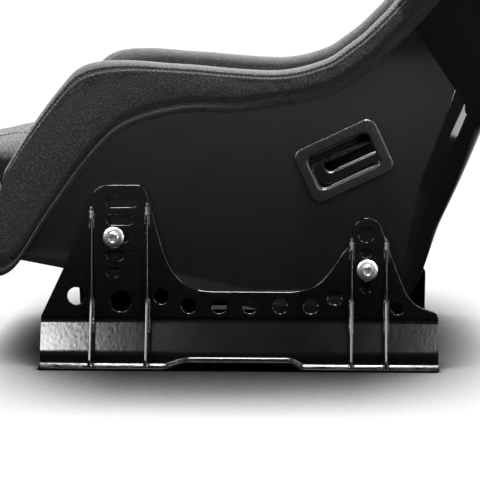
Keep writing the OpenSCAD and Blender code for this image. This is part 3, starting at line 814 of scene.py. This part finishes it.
def make_seat_cushion():
    name = "seat_cushion"
    rings = []
    for i in np.concatenate([np.arange(0, 3, 0.25), np.arange(3, SEAT_LAST + 0.01, 0.2)]):
        if i < 2:
            low = spline(SEAT_FRONT_UNDER, i)
        elif i < 3:
            low = mix(SEAT_FRONT_UNDER[2], inner(1, PAD_LOW), i - 2)
        else:
            low = inner(i - 2, PAD_LOW)
        high = spline(SEAT_TOP, i)
        end = smooth(min(i / 0.8, (SEAT_LAST - i) / 0.8 + 0.05))
        middle = mix(low, high, 0.45)
        low, high = mix(middle, low, mix(0.72, 1, end)), mix(middle, high, mix(0.66, 1, end))
        rings.append(soft_ring(low, high, SEAT_HALF * mix(0.965, 1.0, end)))
    cushion = to_mesh(f"{name}_cloth", loft(rings), "cushion", 180)
    # opening for the crotch-belt frame
    rings = [rounded_ring(53.5, 36, 14, z) for z in (-100, 100)]
    cut(cushion, to_mesh("cutter", loft(rings), "cushion", place=crotch_frame(60)))
    inflate(cushion, voxel=5, pressure=4, cap=6)
    lines = {f"seat_channel_{k}": [vec(x, y, ABOVE_SEAT) for y in np.arange(-333, 132, SEW_STEP)]
             for k, x in enumerate((-88, 88))}
    lines |= {f"seat_cross_{k}": [vec(x, y, ABOVE_SEAT) for x in np.arange(-85, 86, SEW_STEP)]
              for k, y in enumerate((-262, -206, 36))}
    for seam, line in lines.items():
        sew(cushion, seam, line, DOWN, name)
    settle_soft(cushion, name, 0.7, name)


def make_pad(name, start, end, half_at, thick, lines, direction):
    rings = []
    for s in np.linspace(start, end, 40 if end - start > 4 else 22):
        u = (s - start) / (end - start)
        tall = thick * mix(0.35, 1, smooth(min(u, 1 - u) / 0.1))
        rings.append(pad_ring(s, half_at(s) * mix(0.95, 1, smooth(min(u, 1 - u) / 0.05)), tall))
    pad = to_mesh(f"{name}_cloth", loft(rings), "cushion", 180)
    inflate(pad, voxel=5, pressure=4, cap=5)
    for k, line in enumerate(lines):
        sew(pad, f"{name}_seam_{k}", line, direction, name)
    settle_soft(pad, name, 0.65, name)


def over_pad(s, x):
    return vec(x, *inner(s, ABOVE_PAD))


def back_half(s):
    return 128 if s < 14 else mix(128, 150, smooth((s - 14) / 3))


def head_half(s):
    return mix(100, 84, (s - HEAD_FROM) / (HEAD_TO - HEAD_FROM))


def make_pads():
    lines = [[over_pad(s, x) for s in np.arange(11.4, 19.1, 0.06)] for x in (-78, 78)]
    lines += [[over_pad(s, x) for x in np.arange(-75, 76, SEW_STEP)] for s in (13.2, 15.4, 17.4)]
    make_pad("back_cushion", BACK_FROM, BACK_TO, back_half, BACK_PAD, lines, TOWARD_BACK)
    lines = [[over_pad(22.1, x) for x in np.arange(-72, 73, SEW_STEP)]]
    make_pad("head_cushion", HEAD_FROM, HEAD_TO, head_half, HEAD_PAD, lines, TOWARD_HEAD)


# -------- belt-slot frames
def make_slot_frame(name, place, sleeve):
    """Moulded bezel: flat grained flange, a sleeve through the wall, ridges along the sleeve's long walls,
    coloured lighter than the flange as a painted highlight.
    """
    # size it follows, how far it lies outside that size, corner radius, height
    slot, edge = SLOT_HALF, BEZEL_HALF
    sections = [
        (slot, 3.9, 10, 0.4 - sleeve), (slot, 3.9, 10, 0.0), (edge, -0.7, 11.5, 0.0), (edge, 0, 12, 0.7),
        (edge, 0, 12, 2.6), (edge, -0.35, 11.8, 3.4), (edge, -1.2, 11.2, 3.9), (edge, -2.0, 10.8, 4.0),
        (slot, 2.4, 9.2, 4.0), (slot, 1.3, 8.6, 3.7), (slot, 0.5, 8.2, 2.9), (slot, 0.1, 8, 1.8),
        (slot, 0.1, 8, 0.9 - sleeve), (slot, 0.7, 8.4, 0.2 - sleeve), (slot, 2.0, 9.2, -sleeve)]
    rings = [rounded_ring(size[0] + out, size[1] + out, r, z, steps=8) for size, out, r, z in sections]
    verts, faces = loft(rings, caps=False)
    m, n = len(rings[0]), len(rings)
    faces += [((n - 1) * m + k, (n - 1) * m + (k + 1) % m, (k + 1) % m, k) for k in range(m)]
    body = to_mesh(name, (verts, faces), "frame", 50, place)
    even_normals(body)
    settle(body, name.replace("bezel", "frame"))
    x, y = slot
    lines = [(-y - 0.2, 1.4 - 3.6 * k) for k in range(4) if 3.6 * k < sleeve - 1] + [(y + 0.1, 0.8)]
    ridges = [tube([(u, v, z) for u in np.linspace(-x + 7, x - 7, 9)], 1.0, sides=10) for v, z in lines]
    # the ridges are real geometry; their lighter nylon is a painted highlight
    settle(to_mesh(f"{name}_ridges", join_parts(ridges), "ridge", 60, place))


def make_frames():
    turned = Matrix.Scale(-1, 4, (0, 0, 1))
    top, under, thin = LINING_TOP + 1.0, -0.3, 3.6
    for side, word in SIDES:
        make_slot_frame(f"lap_bezel_outer_{word}", lap_frame(LAP_OUTER_X, side), 16)
        make_slot_frame(f"lap_bezel_inner_{word}", lap_frame(LAP_INNER_X, side) @ LAP_LOWER @ turned, 16)
        make_slot_frame(f"shoulder_bezel_rear_{word}", shoulder_frame(side, under) @ turned, thin)
        make_slot_frame(f"shoulder_bezel_front_{word}", shoulder_frame(side, top), 4)
    make_slot_frame("crotch_bezel_lower", crotch_frame(under) @ turned, thin)
    make_slot_frame("crotch_bezel_upper", crotch_frame(top), 4)


# -------- brackets
PLATE_IN, PLATE = 206.0, 3.0
PLATE_OUT = PLATE_IN + PLATE
SLANT_OUT, SLANT_TOP, SLANT_LOW, FLANGE_W, JOGGLE = 14.0, 49.6, 14.4, 24.0, 8.0
FLANGE_IN, FLANGE_OUT = PLATE_IN + SLANT_OUT, PLATE_OUT + SLANT_OUT + FLANGE_W
HALF_LEN, FLANGE_CORNER = 225.0, 3.0
BOLTS = [(-142.0, 146.0), (145.0, 110.0)]
POST_SLOTS = [(-150.0, 106.0 + 20 * i, 15.0 + 5 * i) for i in range(5)]
SLOT_H = 12.0
POST_HOLES = [(143.5, 150, 17), (143.5, 130, 12), (145, 110, 12), (143.5, 90, 12)]
LIGHT_HOLES = [(-185, 79, 20), (-134, 73, 24), (-88, 78.7, 17), (108, 78.7, 17), (179, 66.4, 14)]
LIGHT_HOLES += [(-56.8 + 34.5 * i, 68.3, 17) for i in range(5)]
FLANGE_HOLE_X, FLANGE_HOLE_R = 235.0, 4.5
FLANGE_HOLES = [(sign * y, length) for sign in (-1, 1) for y, length in ((204.0, 9.0), (97.0, 22.0))]
GUSSETS = [(-167.0, 180.0), (-104.0, 184.0), (127.0, 145.0), (166.0, 145.0)]


def arc(c, r, start, end, steps=14):
    angles = np.radians(np.linspace(start, end, steps + 1))
    return [vec(c[0] + r * cos(a), c[1] + r * sin(a)) for a in angles]


def plate_top():
    """Upper outline of the plate in (y, z), from its front end over both posts to its rear end."""
    pts = vecs((-225, 49.6), (-225, 56), (-195, 119.4), (-178, 158.3))
    pts += arc((-148, 185.4), 20, 160, 90) + arc((-116, 193.4), 12, 90, 20)

    def run(radius, *corners):
        """Rounded corners on the way from the last point to the next one."""
        radii = [0] + [radius] * (len(corners) - 1) + [0]
        return fillet([pts[-1]] + vecs(*corners), radii, 3)[1:-1]

    pts += run(14, (-92, 151.4), (-85, 126.2), (-77, 109), (-66, 96.6), (-54, 88), (-37, 84.6), (64, 84.6),
               (83, 89.2), (94, 97.2), (108.4, 115), (117.8, 131.4), (145, 152))
    pts += arc((145, 152), 17, 152, 28)
    pts += run(8, (169.5, 131.4), (179, 107), (186.5, 88), (192.5, 77), (202, 69), (216, 63.6))
    return pts + arc((216, 54.6), 9, 80, 0) + [vec(225, 49.6)]


def oval(y, z, length, height):
    """Slot outline from its left end."""
    r = height / 2
    return arc((y + r, z), r, 90, 270, 10) + arc((y + length - r, z), r, -90, 90, 10)


def flange_rise(y):
    """Height of the flange strip over the floor at y: feet at the ends, raised in the middle."""
    return JOGGLE * min(smooth((y + 85) / 31), smooth((74 - y) / 18))


def prism(outline, holes, x0, x1, bevel=0.6):
    """Mesh of a plate from outlines in (y, z), pierced by holes, with rounded edges."""
    curve = bpy.data.curves.new("outline", "CURVE")
    curve.dimensions, curve.fill_mode = "2D", "BOTH"
    for ring in [outline] + holes:
        line = curve.splines.new("POLY")
        line.points.add(len(ring) - 1)
        for i, p in enumerate(ring):
            line.points[i].co = (p[0] * MM, p[1] * MM, 0, 1)
        line.use_cyclic_u = True
    curve.extrude = ((x1 - x0) / 2 - bevel) * MM
    curve.bevel_depth, curve.bevel_resolution = bevel * MM, 2
    curve.offset = -bevel * MM
    temp = add_object("outline", curve)
    mesh = bpy.data.meshes.new_from_object(evaluated(temp))
    bpy.data.objects.remove(temp)
    mesh.transform(Matrix(((0, 0, 1, (x0 + x1) / 2 * MM), (1, 0, 0, 0), (0, 1, 0, 0), (0, 0, 0, 1))))
    return mesh


def steel_piece(name, mesh, side, node):
    """Painted sheet piece from a prism, mirrored for the right side."""
    if side < 0:
        mesh.transform(MIRROR)
        mesh.flip_normals()
    clean(mesh, 2e-6)
    shade(mesh, 40)
    mesh.materials.clear()
    mesh.materials.append(MAT["paint"])
    obj = add_object(name, mesh)
    even_normals(obj)
    settle(obj, node)


def fold_profile(rise):
    """Middle line of the folded sheet in (x, z) from the plate's lower edge to the flange's outer edge."""
    mid, half = PLATE_IN + PLATE / 2, PLATE / 2
    return vecs((mid, SLANT_TOP + 6.0), (mid, SLANT_TOP), (mid + SLANT_OUT, SLANT_LOW + half),
                (mid + SLANT_OUT, rise + half), (FLANGE_OUT, rise + half))


def make_fold(side, word):
    """Slanted face, step and flange, swept along the bracket with bent corners."""
    rings = []
    for y in np.unique(np.concatenate([[-HALF_LEN, HALF_LEN], np.arange(-224, 225, 4),
                                       np.arange(-86, -52, 1.5), np.arange(54, 76, 1.5)])):
        path = fillet(fold_profile(flange_rise(y)), [0, 5, 4.2, 4.5, 0], 5)
        from_end = HALF_LEN - abs(y)
        if from_end < FLANGE_CORNER:
            inset = FLANGE_CORNER - sqrt(max(0.0, FLANGE_CORNER ** 2 - (FLANGE_CORNER - from_end) ** 2))
            path[-1] = path[-1] - vec(inset, 0)
        left, right = [], []
        for i, p in enumerate(path):
            d = unit(path[min(i + 1, len(path) - 1)] - path[max(i - 1, 0)])
            n = vec(-d[1], d[0])
            left.append(p + n * PLATE / 2)
            right.append(p - n * PLATE / 2)
        edge = [path[-1] + vec(0.55, v) for v in (0.8, 0, -0.8)]
        rings.append([vec(q[0], y, q[1]) for q in left + edge + right[::-1]])
    fold = to_mesh(f"bracket_fold_{word}", loft(rings), "paint", 32, MIRROR if side < 0 else None)
    r = FLANGE_HOLE_R
    for y, length in FLANGE_HOLES:
        hole = [(side * FLANGE_HOLE_X + r * cos(a),
                 y + (length / 2 - r) * (1 if sin(a) > 0 else -1) + r * sin(a)) for a in turn_angles(32)]
        cut(fold, to_mesh("cutter", loft([[vec(*p, z) for p in hole] for z in (-3, 7)]), "paint", 180))
    even_normals(fold)
    settle(fold, f"bracket_{word}")


def weld_bead(path, radius, seed):
    """Run of overlapping weld ripples along a path."""
    rng = np.random.default_rng(seed)
    path = np.array(path)
    lengths = run_lengths(path)
    rings = []
    for u in np.arange(0, lengths[-1], 0.55):
        p = sample(u, lengths, path)
        q = sample(min(u + 0.5, lengths[-1]), lengths, path)
        d = q - p if np.linalg.norm(q - p) > 1e-6 else path[-1] - path[-2]
        ripple = 1 + 0.14 * sin(2 * pi * u / 2.3) + 0.06 * rng.standard_normal()
        end = min(1.0, 0.45 + 0.55 * smooth(min(u, lengths[-1] - u) / 2.5))
        rings.append(ring_across(p, unit(d), vec(0.31, 0.2, 0.93), radius * ripple * end, 12)[0])
    return loft(rings)


def make_bracket(side, word):
    holes = [oval(y, z, length, SLOT_H) for y, z, length in POST_SLOTS]
    holes += [arc((y, z), d / 2, 0, 350, 35) for y, z, d in POST_HOLES + LIGHT_HOLES]
    plate = prism(plate_top(), holes, PLATE_IN, PLATE_OUT)
    steel_piece(f"bracket_plate_{word}", plate, side, f"bracket_{word}")
    make_fold(side, word)
    beads = []
    at_plate, tip, foot, low = PLATE_OUT - 0.2, FLANGE_OUT - 2, FLANGE_IN + PLATE, PLATE - 0.2
    for g, (y, top) in enumerate(GUSSETS):
        outline = vecs((at_plate, top), (PLATE_OUT + 4, top - 12), (PLATE_OUT + 9, SLANT_TOP + 30),
                       (tip, PLATE + 6), (tip, low), (foot, low), (foot, SLANT_LOW + 1),
                       (at_plate, SLANT_TOP + 1))
        outline = fillet(outline + [outline[0]], [0, 3, 14, 3, 0, 0, 0, 0, 0], 4)[:-1]
        mesh = prism(outline, [], -PLATE / 2, PLATE / 2, bevel=1.1)
        # the outline was drawn in (x, z): turn the plate so that it stands across the bracket
        mesh.transform(Matrix(((0, 1, 0, 0), (1, 0, 0, y * MM), (0, 0, 1, 0), (0, 0, 0, 1))))
        steel_piece(f"gusset_{g}_{word}", mesh, side, f"gussets_{word}")
        x = PLATE_OUT + 0.3
        for edge in (-1, 1):
            v = y + edge * (PLATE / 2 + 0.2)
            runs = ((1, [(x, v, top - 3), (x, v, top - 26)]),
                    (41, [(x + 0.4, v, SLANT_TOP + 26), (x + 0.4, v, SLANT_TOP + 4),
                          (x + 6, v, SLANT_TOP - 13)]),
                    (81, [(foot + 0.8, v, 3.6), (FLANGE_OUT - 5, v, 3.6)]))
            beads += [weld_bead(path, 1.7, seed + 10 * g + edge) for seed, path in runs]
        beads.append(weld_bead([(x + 0.6, y, top + 1.2), (x + 0.6, y, top - 3)], 2.4, 120 + g))
    if side < 0:
        beads = [(mirrored(v), f) for v, f in beads]
    settle(to_mesh(f"welds_{word}", join_parts(beads), "weld", 180))


# -------- bolts and washers
TURN_STEPS, WASHER_R, HEAD_R, SOCKET_R, KNURLS = 48, 12.0, 6.5, 3.45, 44


def around(x, r, a, y, z, side):
    """Point at radius r and angle a about a bolt's axis."""
    return vec(side * x, y + r * cos(a), z + r * sin(a))


def lathe(profile, y, z, side):
    """Turned shape round the X axis: profile of (x, radius)."""
    rings = [[around(x, r, a, y, z, side) for a in turn_angles(TURN_STEPS)] for x, r in profile]
    return loft(rings, caps=False)


def bolt_head(x, y, z, side):
    """Shank and cylinder head, with a hexagon socket closed at its bottom."""
    profile = [(x - 24, 4.0), (x, 4.0), (x, 6.1), (x + 0.4, HEAD_R), (x + 7.2, HEAD_R), (x + 8, 5.8),
               (x + 8, 4.3), (x + 7.4, 3.8)]
    verts, faces = lathe(profile, y, z, side)
    n, rim_at, base = TURN_STEPS, (len(profile) - 1) * TURN_STEPS, len(verts)
    for depth in (7.4, 4.0):
        for a in turn_angles(n):
            r = SOCKET_R * cos(pi / 6) / cos((a % (pi / 3)) - pi / 6)
            verts.append(around(x + depth, r, a, y, z, side))
    for k in range(n):
        j = (k + 1) % n
        faces.append((rim_at + k, rim_at + j, base + j, base + k))
        faces.append((base + k, base + j, base + n + j, base + n + k))
    faces.append(tuple(range(base + n, base + 2 * n)))
    return verts, faces


def make_fixings():
    washers, heads, locks, dark = [], [], [], []
    for side, _ in SIDES:
        for y, z in BOLTS:
            x, r = PLATE_OUT + 0.05, WASHER_R
            washers.append(lathe([(x, 4.3), (x, r - 0.4), (x + 0.35, r), (x + 1.5, r), (x + 2, r - 0.6),
                                  (x + 2, 4.8), (x + 1.7, 4.3), (x, 4.3)], y, z, side))
            x += 2
            section = ((0.0, 4.4), (0.0, 7.1), (0.2, 7.25), (1.8, 7.25), (2.0, 7.1), (2.0, 4.4))
            locks.append(loft([[around(x + 0.02 + dx, rr, a, y, z, side) for dx, rr in section]
                               for a in np.radians(np.linspace(8, 352, 60))]))
            x += 2
            heads.append(bolt_head(x, y, z, side))
            for a in turn_angles(KNURLS):
                path = [around(x + u, HEAD_R + 0.02, a, y, z, side) for u in (1.4, 2.2, 6.2, 6.8)]
                dark.append(tube(path, 0.17, sides=5))
    for name, parts, node, sharp in (
            ("washers_turned", washers, "large_washers", 40), ("split_washers", locks, "lock_washers", 40),
            ("socket_bolts", heads, "seat_bolts", 35), ("bolt_knurls", dark, None, 180)):
        settle(to_mesh(name, join_parts(parts), "zinc", sharp), node)


# -------- CAD parts that stay in view
def dress_cad():
    kept = {"threaded_inserts": "insert", "mount_spacers": "spacer", "loop_strips": "tape"}
    for part in ("seat", "back", "head"):
        kept[f"{part}_cushion_hooks"] = "tape"
        kept[f"{part}_cushion_backing"] = "backing"
    for node, key in kept.items():
        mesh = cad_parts[node].data
        mesh.materials.clear()
        mesh.materials.append(MAT[key])


# -------- stage
WHITE = (1, 1, 1, 1)
FLOOR_HALF, FLOOR_DROP, FLOOR_GLOW, SHADOW_REACH = 9.0, 0.0004, 1.08, 0.36
BACKDROP_SEEN, BACKDROP_LIGHT = 1.1, 0.02
# name, place, aim, size, watts
LIGHTS = (
    ("overhead", (-1.6, 0.1, 2.4), (0.2, 0.0, 0.0), (2.0, 3.2), 260),
    ("top", (0.0, 0.0, 2.6), (0.15, 0.0, 0.0), (0.9, 1.6), 860),
    ("key", (1.05, -0.56, 0.62), (0.215, -0.15, 0.05), (0.5, 0.22), 13),
    ("fill", (1.05, 0.53, 0.62), (0.215, 0.15, 0.05), (0.4, 0.22), 8),
    ("edge_strip", (1.6, 0.95, 0.14), (0.2, 0.25, 0.3), (0.3, 0.22), 5),
    ("back_card", (0.36, 1.14, 0.03), (0.36, 1.14, 1.0), (0.26, 0.74), 4.5),
    ("rear_strip", (0.6, 2.6, 0.9), (0.1, 0.35, 0.4), (0.5, 1.6), 30))
CAMERA_AT, CAMERA_AIM, CAMERA_LENS, SENSOR = (3.009, 0.11, 0.4629), (0.209, 0.0011, 0.1437), 187.5, 36


def camera_sees(tree, seen, lit, output):
    """One shader for what the camera sees directly, another for what lights and mirrors see."""
    direct = add_node(tree, "LightPath").outputs["Is Camera Ray"]
    choose = add_node(tree, "MixShader", {"Fac": direct, 1: lit, 2: seen})
    feed(tree, tree.nodes[output], {"Surface": choose.outputs["Shader"]})


def make_stage():
    mat = bpy.data.materials.new("floor")
    mat.use_nodes = True
    tree = mat.node_tree
    tree.nodes.remove(tree.nodes["Principled BSDF"])
    place = add_node(tree, "TexCoord").outputs["Object"]
    split = add_node(tree, "SeparateXYZ", {"Vector": place})

    def maths(operation, *values):
        return add_node(tree, "Math", dict(enumerate(values)), operation=operation).outputs["Value"]

    # pale floor with a soft contact shadow, deep between the ends of the brackets and light beyond them
    near = add_node(tree, "AmbientOcclusion", {"Distance": SHADOW_REACH}, samples=12)
    depth = map_range(tree, maths("ABSOLUTE", split.outputs["Y"]), (0.13, 0.31), (7.2, 0.3))
    bright = maths("MULTIPLY", maths("POWER", near.outputs["AO"], depth), FLOOR_GLOW)
    pale = add_node(tree, "Emission", {"Strength": bright})
    # in the gloss of the seat the studio floor is dark nearby and a little lighter far off,
    # and behind the seat it is as pale as the backdrop, which lights the edges of the gloss
    far = add_node(tree, "VectorMath", {0: place}, operation="LENGTH")
    dark = map_range(tree, far.outputs["Value"], (0.9, 5.0), (0.004, 0.46))
    behind = map_range(tree, split.outputs["X"], (-0.4, -1.6), (0.0, 0.9))
    gloss = add_node(tree, "Emission", {"Strength": maths("ADD", dark, behind)})
    camera_sees(tree, pale.outputs["Emission"], gloss.outputs["Emission"], "Material Output")
    sheet, r = bpy.data.meshes.new("floor"), FLOOR_HALF
    sheet.from_pydata([(-r, -r, 0), (r, -r, 0), (r, r, 0), (-r, r, 0)], [], [(0, 1, 2, 3)])
    sheet.materials.append(mat)
    ground = add_object("floor", sheet)
    ground.location.z = -FLOOR_DROP
    world = bpy.data.worlds.new("studio")
    bpy.context.scene.world = world
    world.use_nodes = True
    tree = world.node_tree
    lit = tree.nodes["Background"]
    feed(tree, lit, {"Color": WHITE, "Strength": BACKDROP_LIGHT})
    seen = add_node(tree, "Background", {"Color": WHITE, "Strength": BACKDROP_SEEN})
    camera_sees(tree, seen.outputs["Background"], lit.outputs["Background"], "World Output")


def aim(obj, place, target):
    obj.location = place
    obj.rotation_euler = (Vector(target) - Vector(place)).to_track_quat("-Z", "Y").to_euler()


def make_lights_and_camera():
    for name, place, target, size, power in LIGHTS:
        light = bpy.data.lights.new(name, "AREA")
        light.shape, light.size, light.size_y, light.energy = "RECTANGLE", size[0], size[1], power
        lamp = add_object(name, light)
        aim(lamp, place, target)
        lamp.visible_camera = False
    camera = bpy.data.cameras.new("camera")
    camera.lens, camera.sensor_width, camera.sensor_height = CAMERA_LENS, SENSOR, SENSOR
    camera.clip_start, camera.clip_end = 0.1, 60
    scene = bpy.context.scene
    scene.camera = add_object("camera", camera)
    aim(scene.camera, CAMERA_AT, CAMERA_AIM)
    scene.view_settings.view_transform, scene.view_settings.look = "Standard", "None"


make_shell()
make_lining()
make_covers()
make_front_cover()
make_top_cover()
make_seat_cushion()
make_pads()
make_frames()
for bracket_side, bracket_word in SIDES:
    make_bracket(bracket_side, bracket_word)
make_fixings()
dress_cad()
make_stage()
make_lights_and_camera()
